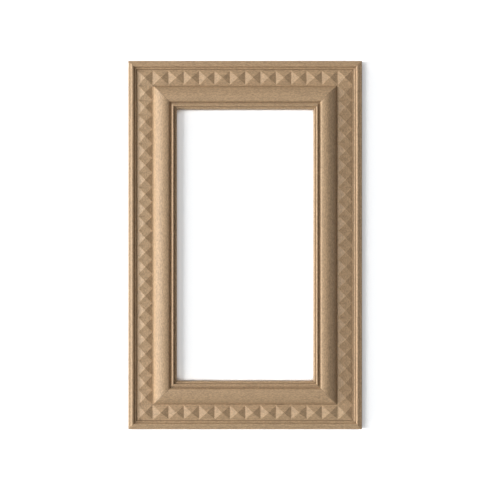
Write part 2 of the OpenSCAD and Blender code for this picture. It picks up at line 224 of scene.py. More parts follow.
class MirrorFrameStage(bpy.types.PropertyGroup):
    """Wall, light and camera"""

    wall_colour: bpy.props.FloatVectorProperty(
        name="Wall", description="Colour of the wall that the frame hangs on",
        subtype="COLOR", size=3, default=(0.975, 0.975, 0.975), min=0, max=1,
    )
    wall_glow: bpy.props.FloatProperty(
        name="Wall glow", description="Light added to the wall as the camera sees it",
        default=0.475, min=0, max=1,
    )
    glow_colour: bpy.props.FloatVectorProperty(
        name="Glow colour", description="Colour of the light added to the wall",
        subtype="COLOR", size=3, default=(0.955, 0.978, 1.0), min=0, max=1,
    )
    # The wall's painted shadow round the frame, where its added light fades.
    corner_reach: bpy.props.FloatProperty(
        name="Corner shade", description="How far from the frame the wall's added light fades in",
        default=18 * MM, min=0, max=100 * MM, unit="LENGTH", precision=4,
    )
    room_light: bpy.props.FloatProperty(
        name="Room light", description="Even light from all round",
        default=0.07, min=0, max=2,
    )
    low_power: bpy.props.FloatProperty(
        name="Low light", description="Power of the light that rakes over the wall from the left",
        default=800, min=0, max=5000, unit="POWER",
    )
    side_power: bpy.props.FloatProperty(
        name="Side lights", description="Power of each low light above and below the first",
        default=305, min=0, max=5000, unit="POWER",
    )
    middle_power: bpy.props.FloatProperty(
        name="Middle light", description="Power of the light between the low and the high one",
        default=200, min=0, max=5000, unit="POWER",
    )
    high_power: bpy.props.FloatProperty(
        name="High light", description="Power of the broad light further out from the wall",
        default=755, min=0, max=5000, unit="POWER",
    )
    right_power: bpy.props.FloatProperty(
        name="Right light", description="Power of the weak light on the right",
        default=80, min=0, max=5000, unit="POWER",
    )
    back_power: bpy.props.FloatProperty(
        name="Back light", description="Power of the light on the frame's back",
        default=320, min=0, max=5000, unit="POWER",
    )
    lens: bpy.props.FloatProperty(
        name="Lens", description="Focal length of the camera",
        default=55, min=20, max=120, unit="CAMERA",
    )
    pixel_size: bpy.props.FloatProperty(
        name="Pixel on the frame", description="Width of the frame that one pixel takes in",
        default=2.567 * MM, min=0.5 * MM, max=10 * MM, unit="LENGTH", precision=6,
    )


SETTINGS = {
    "mirror_frame_mouldings": MirrorFrameMouldings,
    "mirror_frame_fittings": MirrorFrameFittings,
    "mirror_frame_finishes": MirrorFrameFinishes,
    "mirror_frame_stage": MirrorFrameStage,
}


# Finishes


class Term:
    """A value on its way through a material. Python's own signs work on it."""

    def __init__(self, recipe, socket):
        self.recipe = recipe
        self.socket = socket

    def sibling(self, output):
        """Another output of the node that this value comes from"""
        return Term(self.recipe, self.socket.node.outputs[output])

    def __add__(self, other):
        return self.recipe.maths("ADD", self, other)

    def __radd__(self, other):
        return self.recipe.maths("ADD", other, self)

    def __sub__(self, other):
        return self.recipe.maths("SUBTRACT", self, other)

    def __rsub__(self, other):
        return self.recipe.maths("SUBTRACT", other, self)

    def __mul__(self, other):
        return self.recipe.maths("MULTIPLY", self, other)

    def __rmul__(self, other):
        return self.recipe.maths("MULTIPLY", other, self)


class Recipe:
    """The nodes that make one material's finish, or the room's light"""

    def __init__(self, owner):
        self.owner = owner
        owner.use_nodes = True
        self.tree = owner.node_tree
        self.tree.nodes.clear()

    def node(self, kind, sockets=None, output=0, **settings):
        """Adds a node, sets it up, fills or links its sockets, and gives the output asked for."""
        made = self.tree.nodes.new(kind)
        for name, value in settings.items():
            setattr(made, name, value)
        for name, value in (sockets or {}).items():
            if isinstance(value, Term):
                self.tree.links.new(value.socket, made.inputs[name])
            else:
                made.inputs[name].default_value = value
        return Term(self, made.outputs[output]) if made.outputs else None

    def maths(self, operation, *values):
        return self.node("ShaderNodeMath", dict(enumerate(values)), operation=operation)

    def place(self):
        """Where on the object a point is"""
        return self.node("ShaderNodeTexCoord", output="Object")

    def stretched(self, place, scale, turn=(0, 0, 0)):
        """A place on a pattern that is stretched along an axis, and turned if need be"""
        sockets = {"Vector": place, "Rotation": turn, "Scale": scale}
        return self.node("ShaderNodeMapping", sockets)

    def noise(self, place, per_metre, detail=2.0, roughness=0.5):
        sockets = {"Vector": place, "Scale": per_metre, "Detail": detail, "Roughness": roughness}
        return self.node("ShaderNodeTexNoise", sockets, noise_dimensions="3D")

    def step(self, value, low, high):
        """0 below low, 1 above high and a soft change between."""
        sockets = {"Value": value, "From Min": low, "From Max": high}
        return self.node("ShaderNodeMapRange", sockets, interpolation_type="SMOOTHSTEP")

    def mixed(self, share, one, other):
        """Two colours mixed: all of one at 0, all of the other at 1."""
        sockets = {0: share, 6: one, 7: other}
        return self.node("ShaderNodeMix", sockets, output=2, data_type="RGBA")

    def scaled(self, colour, amount):
        """A colour made lighter or darker by a factor."""
        grey = self.node("ShaderNodeCombineXYZ", {0: amount, 1: amount, 2: amount})
        return self.node("ShaderNodeVectorMath", {0: colour, 1: grey}, operation="MULTIPLY")

    def marked(self, name):
        """How strongly a face was marked on the bench"""
        return self.node("ShaderNodeAttribute", output="Fac", attribute_name=name)

    def bump(self, height, strength, distance):
        sockets = {"Height": height, "Strength": strength, "Distance": distance}
        return self.node("ShaderNodeBump", sockets)

    def seen(self):
        """1 for what the camera sees straight, and 1 for what it sees by gloss and glass as well"""
        camera = self.node("ShaderNodeLightPath", output="Is Camera Ray")
        either = self.maths("MAXIMUM", camera, camera.sibling("Is Glossy Ray"))
        return camera, self.maths("MAXIMUM", either, camera.sibling("Is Transmission Ray"))

    def finish(self, colour, roughness, normal, **constants):
        sockets = {"Base Color": colour, "Roughness": roughness, "Normal": normal, **constants}
        shader = self.node("ShaderNodeBsdfPrincipled", sockets)
        self.node("ShaderNodeOutputMaterial", {"Surface": shader})
        return self.owner


def colour4(colour, factor=1.0, tint=(1.0, 1.0, 1.0)):
    """A colour made lighter or darker and tinted, with the alpha that a socket wants"""
    return tuple(min(1.0, c * factor * t) for c, t in zip(colour, tint)) + (1.0,)


def mitre_line(r, place):
    """1 within a hair of the frame's four mitre lines, 0 elsewhere."""
    x = r.node("ShaderNodeSeparateXYZ", {0: place})
    across = r.maths("ABSOLUTE", x)
    upright = r.maths("ABSOLUTE", x.sibling("Z") - MIDDLE_Z)
    off = across - upright + (FRAME_H - FRAME_W) / 2
    return 1.0 - r.step(r.maths("ABSOLUTE", off), 0.5 * MM, 0.8 * MM)


def wood(
    name, colour, grain, fleck,
    coarse=1.0, figure=0.55, blotch=2.8, satin=0.45, base_roughness=0.55,
):
    """Close-grained wood whose fibres run along one axis, X or Z."""
    r = Recipe(bpy.data.materials.new(name))
    place = r.place()

    def grained(squeeze, per_metre, detail, roughness=0.5):
        """A noise drawn out along the grain"""
        scale = (squeeze, 1.0, 1.0) if grain == "X" else (1.0, 1.0, squeeze)
        return r.noise(r.stretched(place, scale), per_metre, detail, roughness)

    boards = grained(0.1, 9 * coarse, 2.0)
    streaks = grained(0.07, 150 * coarse, 3.0, 0.55)
    fibres = grained(0.05, 950 * coarse, 2.0, 0.6)
    mottle = grained(0.45, 360, 3.0, 0.65)
    pores = r.step(grained(0.16, 1250 * coarse, 1.0), 0.58, 0.70)
    rays = r.step(grained(0.4, 480 * coarse, 1.0), 0.60, 0.74)

    tone = 0.5 + (streaks - 0.5) * figure + (fibres - 0.5) * 1.1 * fleck
    tone = tone + (mottle - 0.5) * (blotch * fleck)
    warm, cool = colour4(colour, 1.0, (1.01, 0.995, 0.985)), colour4(colour, 1.0, (0.99, 1.0, 1.0))
    middle = r.mixed(r.step(boards, 0.35, 0.65), warm, cool)
    body = r.mixed(r.step(tone, 0.05, 0.95), r.scaled(middle, 0.80), r.scaled(middle, 1.17))
    body = r.scaled(body, 1.0 - pores * (0.20 * fleck) + rays * (0.07 * fleck))

    # Rubbed arrises and pyramid ridges are lighter: partly wear, partly a painted highlight along
    # the edges.
    wear_and_painted_highlight = r.marked("arris") * r.step(r.noise(place, 60, 3.0, 0.6), 0.25, 0.6)
    body = r.mixed(wear_and_painted_highlight * 0.75, body, colour4(colour, 1.4, (1.0, 1.0, 0.98)))
    seam = r.maths("MAXIMUM", r.marked("seam"), mitre_line(r, place))
    body = r.mixed(seam * 0.65, body, colour4(colour, 0.38, (1.0, 0.9, 0.8)))
    # Marked grooves and crevices are darker: painted shade where they lie in shadow.
    body = r.mixed(r.marked("groove") * 0.7, body, colour4(colour, 0.55, (1.0, 0.93, 0.85)))

    roughness = base_roughness + (fibres - 0.5) * 0.22 + pores * 0.14 - wear_and_painted_highlight * 0.08
    height = fibres * 0.35 + streaks * 0.25 - pores * 0.55
    normal = r.bump(height, 0.22, 0.25 * MM)
    return r.finish(body, roughness, normal, **{"Specular IOR Level": satin})


def brass_finish(name, colour):
    """Tumbled brass with fine crossing scratches and a little tarnish"""
    r = Recipe(bpy.data.materials.new(name))
    place = r.place()
    one_way = r.noise(r.stretched(place, (0.05, 1, 1), (0, 0.6, 0)), 5200, 1.0)
    other_way = r.noise(r.stretched(place, (1, 1, 0.05), (0, 0.35, 0)), 4700, 1.0)
    scratches = r.step(one_way, 0.60, 0.72) + r.step(other_way, 0.62, 0.74)
    tarnish = r.step(r.noise(place, 170, 4.0, 0.62), 0.45, 0.75)
    grime = r.step(r.noise(place, 620, 3.0, 0.6), 0.52, 0.78)
    body = r.mixed(tarnish * 0.55, colour4(colour), colour4(colour, 0.62, (0.95, 0.92, 0.8)))
    body = r.mixed(grime * 0.25, body, colour4(colour, 0.4, (0.9, 0.9, 0.9)))
    body = r.mixed(r.marked("arris") * 0.5, body, colour4(colour, 1.3, (1.0, 1.0, 1.05)))
    roughness = 0.27 + tarnish * 0.16 + grime * 0.10 + scratches * 0.07
    normal = r.bump(scratches * -0.5 + tarnish * 0.4, 0.15, 0.05 * MM)
    return r.finish(body, roughness, normal, Metallic=1.0)


def steel_finish(name, colour):
    """Zinc plated steel with a faint crystal pattern and handling marks"""
    r = Recipe(bpy.data.materials.new(name))
    place = r.place()
    wobble = r.noise(place, 300, 3.0)
    cells = {"Vector": place, "Scale": 620}
    crystals = r.node("ShaderNodeTexVoronoi", cells, output="Color", feature="F1")
    shade = r.node("ShaderNodeSeparateXYZ", {0: crystals})
    marks = r.step(r.noise(r.stretched(place, (1, 1, 0.06), (0, 0.25, 0)), 4200, 1.0), 0.62, 0.74)
    cool, warm = colour4(colour, 0.9, (1.0, 1.0, 1.02)), colour4(colour, 1.1, (1.0, 0.99, 0.97))
    body = r.scaled(r.mixed(wobble, cool, warm), 0.86 + shade * 0.26 - marks * 0.10)
    body = r.mixed(r.marked("arris") * 0.4, body, colour4(colour, 1.35))
    roughness = 0.30 + shade * 0.12 + wobble * 0.12 + marks * 0.12
    normal = r.bump(shade * 0.3 - marks * 0.5, 0.12, 0.05 * MM)
    return r.finish(body, roughness, normal, Metallic=1.0)


# How the woods at the back differ from the face wood: coarser and straighter, with less fleck.
CORE_LOOK = {"coarse": 0.5, "figure": 2.6, "blotch": 0.9, "satin": 0.2, "base_roughness": 0.62}
SPLINE_LOOK = {"coarse": 0.8, "figure": 1.6, "blotch": 0.8, "satin": 0.2, "base_roughness": 0.6}

# Each wood: the setting that holds its colour, the axis of its grain and its look.
WOODS = {
    "rail_wood": ("face_wood", "X", {}),
    "stile_wood": ("face_wood", "Z", {}),
    "core_rail_wood": ("core_wood", "X", CORE_LOOK),
    "core_stile_wood": ("core_wood", "Z", CORE_LOOK),
    "spline_wood": ("spline_wood", "X", SPLINE_LOOK),
}
METALS = {"brass": brass_finish, "steel": steel_finish}
FINISHES = {}


def finish_named(name):
    """Gives a finish, and makes it the first time that it is asked for."""
    if name not in FINISHES:
        set_up = bpy.context.scene.mirror_frame_finishes
        if name in WOODS:
            colour, grain, look = WOODS[name]
            FINISHES[name] = wood(name, getattr(set_up, colour), grain, set_up.fleck, **look)
        else:
            FINISHES[name] = METALS[name](name, getattr(set_up, name))
    return FINISHES[name]


# Bench work


def clear_selection():
    bpy.ops.object.select_all(action="DESELECT")


def take_up(piece):
    """Makes one piece the active and only selected one."""
    clear_selection()
    piece.select_set(True)
    bpy.context.view_layer.objects.active = piece


def open_up(piece):
    """Takes a piece into edit mode with nothing of it selected."""
    take_up(piece)
    bpy.ops.object.mode_set(mode="EDIT")
    bpy.ops.mesh.select_mode(type="FACE")
    bpy.ops.mesh.select_all(action="DESELECT")


def put_down():
    bpy.ops.object.mode_set(mode="OBJECT")


def choose(piece, kind, wanted):
    """Selects the points, edges or faces that a test picks, and counts them."""
    bpy.ops.mesh.select_mode(type=kind)
    mesh = bmesh.from_edit_mesh(piece.data)
    parts = {"VERT": mesh.verts, "EDGE": mesh.edges, "FACE": mesh.faces}[kind]
    for part in parts:
        part.select_set(False)
    chosen = [part for part in parts if wanted(part)]
    for part in chosen:
        part.select_set(True)
    mesh.select_flush_mode()
    bmesh.update_edit_mesh(piece.data)
    return len(chosen)


def choose_faces(piece, wanted):
    """Selects the faces that a test on their middle and normal picks, and counts them."""
    return choose(piece, "FACE", lambda face: wanted(face.calc_center_median(), face.normal))


def choose_edges(piece, wanted):
    """Selects the edges that a test on an edge and its two points picks."""
    choose(piece, "EDGE", lambda edge: wanted(edge, [point.co for point in edge.verts]))


def pull(off, inwards=0.0):
    """Extrudes what is selected off the wall and in from the outer edge, in millimetres."""
    move = (0, -off * MM, -inwards * MM)
    bpy.ops.mesh.extrude_region_move(TRANSFORM_OT_translate={"value": move})


def choose_all():
    bpy.ops.mesh.select_all(action="SELECT")


def choose_front(piece):
    """Selects the faces that look straight to the front."""
    choose_faces(piece, lambda c, n: n.y < TO_FRONT)


def face_outwards():
    """Turns every face of the piece in hand outwards."""
    choose_all()
    bpy.ops.mesh.normals_make_consistent(inside=False)


def score(xs, zs, choose_what):
    """Cuts the faces that a choice picks along upright lines at each x and level ones at each z."""
    lines = [((x, 0, 0), (1, 0, 0)) for x in xs] + [((0, 0, z), (0, 0, 1)) for z in zs]
    for spot, normal in lines:
        choose_what()
        bpy.ops.mesh.bisect(plane_co=spot, plane_no=normal)


def ease(piece, offset, segments, wanted):
    """Rounds the edges that a test picks, and marks them for wear and, on the wood, a painted
    highlight.
    """
    choose_edges(piece, wanted)
    bpy.ops.mesh.bevel(offset=offset, segments=segments, profile=0.5, clamp_overlap=True)
    mark(piece, "arris")


def smooth(piece, degrees):
    """Shades the faces of a piece that meet at less than that angle as one."""
    take_up(piece)
    bpy.ops.object.shade_smooth_by_angle(angle=math.radians(degrees))


def mark(piece, name, strength=1.0):
    """Notes on the selected faces how strongly a finish treats them in its own way."""
    piece.data.attributes.active = piece.data.attributes[name]
    bpy.ops.mesh.attribute_set(value_float=strength)


def apply_place():
    bpy.ops.object.transform_apply(location=True, rotation=True, scale=True)


def start_piece(name, size=(1, 1, 1)):
    """Names the primitive just added, applies its place and size and readies it for marks."""
    piece = bpy.context.active_object
    piece.name = piece.data.name = name
    piece.scale = size
    apply_place()
    for mark_name in ("arris", "seam", "groove"):
        piece.data.attributes.new(mark_name, "FLOAT", "FACE")
    return piece


def place_in_mesh(piece, matrix):
    """Moves a piece to its place and applies it, so that its object stays at the origin."""
    take_up(piece)
    piece.matrix_world = matrix
    apply_place()


def side_place(side):
    """The turn and move that take a piece from the bench to a side of the frame"""
    turn, _, half = SIDES[side]
    return (
        Matrix.Translation((0, 0, MIDDLE_Z))
        @ Matrix.Rotation(math.radians(turn), 4, "Y")
        @ Matrix.Translation((0, 0, half))
    )


def copy_of(piece, name):
    """A copy with its own mesh"""
    twin = piece.copy()
    twin.data = piece.data.copy()
    twin.name = twin.data.name = name
    bpy.context.scene.collection.objects.link(twin)
    return twin


def cut_away(piece, *cutters):
    """Takes the cutters' shapes out of a piece, then puts the cutters away."""
    take_up(piece)
    for cutter in cutters:
        cut = piece.modifiers.new("Cut", "BOOLEAN")
        cut.operation = "DIFFERENCE"
        cut.solver = "EXACT"
        cut.object = cutter
        bpy.ops.object.modifier_apply(modifier=cut.name)
        bpy.data.objects.remove(cutter)


def hand_over(piece, body, slot, *nodes):
    """Finishes a piece, checks it against what it stands for, and lets it ride."""
    piece.data.materials.clear()
    piece.data.materials.append(finish_named(slot))
    points = [point.co for point in piece.data.vertices]
    off = max(
        abs(limit(point[i] for point in points) - limit(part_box(node)[corner][i] for node in nodes))
        for corner, limit in enumerate((min, max))
        for i in range(3)
    )
    if off > BOX_PLAY:
        raise RuntimeError(f"{piece.name} is {off / MM:.2f} mm away from where {nodes[0]} is")
    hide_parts(*nodes)
    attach(piece, body)
    clear_selection()


# Mouldings


def sweep(piece, start, path):
    """Carries a long edge round a profile, in millimetres.

    A leg (u, v) extrudes it to there, and (u, v, degrees, steps) spins it round that centre.
    """
    u, v = start
    choose_edges(piece, lambda edge, ends: all(abs(p.z + u * MM) < SAME_PLACE for p in ends))
    for leg in path:
        if len(leg) == 2:
            pull(leg[1] - v, leg[0] - u)
            u, v = leg
        else:
            middle_u, middle_v, degrees, steps = leg
            turn = math.radians(degrees)
            middle = (0, -middle_v * MM, -middle_u * MM)
            bpy.ops.mesh.spin(steps=steps, angle=turn, axis=(-1, 0, 0), center=middle)
            off_u, off_v = u - middle_u, v - middle_v
            u = middle_u + off_u * math.cos(turn) + off_v * math.sin(turn)
            v = middle_v + off_v * math.cos(turn) - off_u * math.sin(turn)
        ends = [p.co for p in bmesh.from_edit_mesh(piece.data).verts if p.select]
        off = [max(abs(p.z + u * MM), abs(p.y + v * MM)) for p in ends]
        if len(ends) != 2 or max(off) > ON_PATH:
            raise RuntimeError(f"{piece.name}: the profile left its path at u {u:.2f}, v {v:.2f}")
    choose_all()
    bpy.ops.mesh.remove_doubles(threshold=MERGED)
    face_outwards()


def mitre(piece, length, seam):
    """Cuts both ends at 45 degrees and marks the fine line along each cut."""
    for end in (-1, 1):
        normal = Vector((end, 0, -1)).normalized()
        tip = Vector((end * length / 2, 0, 0))
        choose_all()
        bpy.ops.mesh.bisect(plane_co=tip - normal * seam, plane_no=normal)
        choose_all()
        bpy.ops.mesh.bisect(plane_co=tip, plane_no=normal, use_fill=True, clear_outer=True)
        choose_faces(piece, lambda c, n: (c - tip).dot(normal) > -seam)
        mark(piece, "seam")


def sharp(edge, degrees):
    """An edge where two faces meet at more than that angle"""
    return len(edge.link_faces) == 2 and edge.calc_face_angle() > math.radians(degrees)


def lengthwise(ends):
    """An edge that runs along the moulding"""
    first, second = ends
    return abs(first.x - second.x) > 0.9 * (first - second).length


def run_moulding(name, length, start, path, sizes, shaded_grooves=()):
    """Runs one length of moulding on the bench: a flat strip, carried round the profile and mitred.

    Each shaded groove is the band from one u to another, below a height v, and how dark its painted
    shade gets.
    """
    (u0, u1), v = start
    spare = 2 * MM
    clear_selection()
    middle = (0, -v * MM, -(u0 + u1) / 2 * MM)
    bpy.ops.mesh.primitive_plane_add(size=1, location=middle, rotation=FACING)
    piece = start_piece(name, (length + spare, abs(u1 - u0) * MM, 1))
    open_up(piece)
    sweep(piece, (u0, v), path)
    # Marks the grooves that get painted shade.
    for low, high, top, strength in shaded_grooves:
        choose_faces(piece, lambda c, n: low < -c.z / MM < high and -c.y / MM < top and n.y < 0.5)
        mark(piece, "groove", strength)
    ease(
        piece, sizes.arris_ease, 2,
        lambda edge, ends: sharp(edge, MOULDING_SHARP) and lengthwise(ends)
        and all(-p.y / MM > CORE_V + 1 for p in ends),
    )
    mitre(piece, length, sizes.seam_width)
    put_down()
    smooth(piece, MOULDING_SMOOTH)
    return piece


def round_the_frame(kind, nodes, make):
    """Makes a rail and a stile, copies each across the frame and hands the four over."""
    for first, second, grain in (("top", "bottom", "rail_wood"), ("left", "right", "stile_wood")):
        bench = make(f"{kind}_{first}", SIDES[first][1])
        twin = copy_of(bench, f"{kind}_{second}")
        for piece, side in ((bench, first), (twin, second)):
            place_in_mesh(piece, side_place(side))
            hand_over(piece, "frame", grain, f"{nodes}_{side}")


def run_round(kind, nodes, *profile):
    """Runs one kind of moulding and puts it round the frame."""
    round_the_frame(kind, nodes, lambda name, length: run_moulding(name, length, *profile))


def height_on(middle, radius, u):
    """Height of a round's surface above the wall, at a distance in from the outer edge"""
    return middle[1] + math.sqrt(radius * radius - (u - middle[0]) ** 2)


def bearing(middle, radius, u):
    """Degrees from a round's crest to a distance in from the outer edge"""
    return math.degrees(math.asin((u - middle[0]) / radius))


def along_round(middle, radius, start_u, end_u, steps):
    """A leg of a profile that follows a round from one u to another"""
    return (*middle, bearing(middle, radius, end_u) - bearing(middle, radius, start_u), steps)


class MIRRORFRAME_OT_outer_moulding(bpy.types.Operator):
    """Run the outer moulding: sloping edge, bead, groove and inner round"""

    bl_idname = "mirror_frame.outer_moulding"
    bl_label = "Outer Moulding"

    def execute(self, context):
        sizes = context.scene.mirror_frame_mouldings
        radius = sizes.bead_radius / MM
        bevel_u, slope_u, groove_u, round_u, end_u = 1.6, 7.2, 15.9, 17.1, 22.3
        round_v, crevice_v = 18.0, 14.4
        bead, inner, inner_radius = (11.3, 23 - radius), (round_u, 13.4), 4.6
        groove_v = round_v - 1.4
        slope_v = height_on(bead, radius, slope_u)
        crevice_u = inner[0] + math.sqrt(inner_radius ** 2 - (crevice_v - inner[1]) ** 2)
        tongue_start, tongue_end = OUTER_TONGUE
        path = [
            (0, slope_v - 2.1), (bevel_u, slope_v - 1.1), (slope_u, slope_v),
            along_round(bead, radius, slope_u, groove_u, 26),
            (groove_u, groove_v), (round_u, groove_v), (round_u, round_v),
            along_round(inner, inner_radius, round_u, crevice_u, 18), (end_u, crevice_v),
            (end_u, CORE_V), (tongue_end, CORE_V), (tongue_end, TONGUE_V),
            (tongue_start, TONGUE_V), (tongue_start, CORE_V), (LEG_END, CORE_V), (LEG_END, 0),
        ]
        # Painted shade in the groove behind the bead, and a little less in the crevice by the band.
        shaded_grooves = [
            (groove_u - 0.1, round_u + 0.1, groove_v + 1, 1.0),
            (crevice_u - 0.5, end_u + 0.1, crevice_v + 1.6, 0.85),
        ]
        run_round("outer_moulding", "outer", ((0, LEG_END), 0), path, sizes, shaded_grooves)
        return {"FINISHED"}


class MIRRORFRAME_OT_main_moulding(bpy.types.Operator):
    """Run the main moulding: the broad face, its crest and the inner round"""

    bl_idname = "mirror_frame.main_moulding"
    bl_label = "Main Moulding"

    def execute(self, context):
        sizes = context.scene.mirror_frame_mouldings
        radius, turn = sizes.face_radius / MM, sizes.turn_radius / MM
        crest_u, turn_u = 95.7, 103.3
        face = (crest_u, CREST_V - radius)
        lean = bearing(face, radius, turn_u)
        end_u = turn_u - turn * math.sin(math.radians(lean))
        end_v = height_on(face, radius, turn_u) - turn * math.cos(math.radians(lean))
        tongue_start, tongue_end = MAIN_TONGUE
        path = [
            (MAIN_START, height_on(face, radius, MAIN_START)),
            along_round(face, radius, MAIN_START, turn_u, 32),
            (end_u, end_v, 90 - lean, 18),
            (end_u + turn, CORE_V), (tongue_end, CORE_V), (tongue_end, TONGUE_V),
            (tongue_start, TONGUE_V), (tongue_start, CORE_V),
        ]
        start = (MAIN_START, tongue_start), CORE_V
        run_round("main_moulding", "main", start, path, sizes)
        return {"FINISHED"}


class MIRRORFRAME_OT_sight_slip(bpy.types.Operator):
    """Run the sight slip: floor, small bead and rounded sight edge"""

    bl_idname = "mirror_frame.sight_slip"
    bl_label = "Sight Slip"

    def execute(self, context):
        sizes = context.scene.mirror_frame_mouldings
        bead, radius, floor_v, groove_v = (116.139, 31.0), 3.0, 28.3, 27.0
        sight, sight_radius = (121.039, 24.54), 3.46
        foot_u, step_u = bead[0] - radius, bead[0] + radius
        path = [
            (SLIP_START, floor_v), (foot_u, floor_v), (foot_u, bead[1]),
            (*bead, 180, 36),
            (step_u, groove_v), (sight[0], groove_v), (sight[0], sight[1] + sight_radius),
            (*sight, 90, 18),
            (SIGHT_END, LIP_V), (REBATE_START, LIP_V), (REBATE_START, CORE_V),
        ]
        # Painted shade on the floor by the main moulding, lightly, and in the groove before the
        # sight edge.
        shaded_grooves = [
            (SLIP_START - 1, foot_u + 0.1, floor_v + 0.5, 0.25),
            (step_u - 0.1, sight[0] + 0.1, groove_v + 0.9, 0.7),
        ]
        start = (SLIP_START, REBATE_START), CORE_V
        run_round("sight_slip", "slip", start, path, sizes, shaded_grooves)
        return {"FINISHED"}


def carve_band(name, length, count, sizes):
    """Carves the row of pyramids and the two corner ones into a flat strip."""
    ground, peak = BAND_V * MM, BAND_V * MM + sizes.pyramid_height
    clear_selection()
    middle = (0, -(CORE_V + BAND_V) / 2 * MM, -(BAND[0] + BAND[1]) / 2 * MM)
    bpy.ops.mesh.primitive_cube_add(size=1, location=middle)
    piece = start_piece(name, (length, (BAND_V - CORE_V) * MM, (BAND[1] - BAND[0]) * MM))
    open_up(piece)

    half_row = length / 2 - BAND[1] * MM
    pitch = 2 * half_row / count
    corner = length / 2 - (BAND[0] + BAND[1]) / 2 * MM
    half_base = (PYRAMIDS[1] - PYRAMIDS[0]) / 2 * MM
    row = [-half_row + i * pitch for i in range(count + 1)]
    corners = [(side * corner - half_base, side * corner + half_base) for side in (-1, 1)]
    across = sorted(row + [x for ends in corners for x in ends])
    score(across, [-u * MM for u in PYRAMIDS], lambda: choose_front(piece))

    cells = [(a + b) / 2 for a, b in [*zip(row, row[1:]), *corners]]
    cell_z = -(PYRAMIDS[0] + PYRAMIDS[1]) / 2 * MM

    def in_cell(c, n):
        level = n.y < TO_FRONT and abs(c.z - cell_z) < ON_CELL
        return level and any(abs(c.x - x) < ON_CELL for x in cells)

    found = choose_faces(piece, in_cell)
    if found != len(cells):
        raise RuntimeError(f"{name}: {found} of {len(cells)} pyramids were laid out")
    bpy.ops.mesh.poke(offset=sizes.pyramid_height, use_relative_offset=False, center_mode="MEDIAN")

    ease(
        piece, sizes.pyramid_ease, 2,
        lambda edge, ends: any(-p.y > peak - SAME_PLACE for p in ends),
    )
    ease(
        piece, sizes.arris_ease, 2,
        lambda edge, ends: sharp(edge, BAND_SHARP) and lengthwise(ends)
        and all(-p.y > ground - SAME_PLACE for p in ends),
    )
    mitre(piece, length, sizes.seam_width)
    put_down()
    smooth(piece, BAND_SMOOTH)
    return piece


class MIRRORFRAME_OT_pyramid_band(bpy.types.Operator):
    """Carve the band of four-sided pyramids"""

    bl_idname = "mirror_frame.pyramid_band"
    bl_label = "Pyramid Band"

    def execute(self, context):
        sizes = context.scene.mirror_frame_mouldings

        def make(name, length):
            count = sizes.rail_pyramids if name.endswith("top") else sizes.stile_pyramids
            return carve_band(name, length, count, sizes)

        round_the_frame("pyramid_band", "band", make)
        return {"FINISHED"}


class MIRRORFRAME_OT_core(bpy.types.Operator):
    """Finish the core frame and the splines across its mitres"""

    bl_idname = "mirror_frame.core"
    bl_label = "Core and Splines"

    def execute(self, context):
        corners = ("top_left", "top_right", "bottom_left", "bottom_right")
        finishes = {
            "core_rail_wood": ("core_top", "core_bottom"),
            "core_stile_wood": ("core_left", "core_right"),
            "spline_wood": [f"spline_{corner}" for corner in corners],
        }
        for finish, nodes in finishes.items():
            for node in nodes:
                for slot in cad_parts[node].material_slots:
                    slot.material = finish_named(finish)
        return {"FINISHED"}


# Fittings


def stretched_disc(name, radius, low, high, v0, v1, axis="X"):
    """A flat piece with round ends, pulled out of a disc along one axis"""
    clear_selection()
    bpy.ops.mesh.primitive_circle_add(
        vertices=48, radius=radius * MM, fill_type="NGON",
        location=(0, -v0 * MM, 0), rotation=FACING,
    )
    piece = start_piece(name)
    open_up(piece)
    index = "XYZ".index(axis)
    for end, shift in ((-1, low), (1, high)):
        choose(piece, "VERT", lambda point: point.co[index] * end > SAME_PLACE)
        move = Vector()
        move[index] = shift * MM
        bpy.ops.transform.translate(value=move)
    choose_all()
    pull(v1 - v0)
    face_outwards()
    put_down()
    return piece


def round_rims(piece, offset, segments, below_v=math.inf):
    """Rounds the rims of a fitting that are less than that many millimetres off the wall."""
    open_up(piece)
    ease(
        piece, offset, segments,
        lambda edge, ends: sharp(edge, FITTING_SHARP) and all(-p.y < below_v * MM for p in ends),
    )
    put_down()


def rod(radius, v0, v1, z=0.0, far_radius=None):
    """A round bar or cone that stands on the back face, from one height to another"""
    clear_selection()
    bpy.ops.mesh.primitive_cone_add(
        vertices=40, radius1=radius * MM, radius2=(far_radius or radius) * MM,
        depth=(v1 - v0) * MM, location=(0, -(v0 + v1) / 2 * MM, z * MM), rotation=FACING,
    )
    return start_piece("rod")


def countersunk(wide, narrow, v0, v1, v2, z=0.0):
    """A cone that narrows to a round bar, as a countersunk screw does, or the hole for it"""
    piece = rod(wide, v0, v1, z, narrow)
    open_up(piece)
    choose_front(piece)
    pull(v2 - v1)
    put_down()
    return piece


def drive_bars(v, width):
    """The two crossed bars that cut a driving recess"""
    across, deep = 4 * MM, 1.6 * MM
    bars = []
    for size in ((across, deep, width), (width, deep, across)):
        clear_selection()
        bpy.ops.mesh.primitive_cube_add(size=1, location=(0, -v * MM, 0))
        bars.append(start_piece("drive_bar", size))
    return bars


def button_place(side, along, aim):
    """The turn and move that take a button or its screw from the bench to its pivot"""
    return (
        side_place(side)
        @ Matrix.Translation((along * MM, 0, -PIVOT_U * MM))
        @ Matrix.Rotation(math.radians(90 - 90 * aim), 4, "Y")
    )


def join_copies(pattern, name, places):
    """Copies a pattern to its places and joins the copies into one piece."""
    copies = [copy_of(pattern, name) for _ in places]
    for twin, matrix in zip(copies, places):
        place_in_mesh(twin, matrix)
    take_up(copies[0])
    for twin in copies:
        twin.select_set(True)
    bpy.ops.object.join()
    bpy.data.objects.remove(pattern)
    return copies[0]


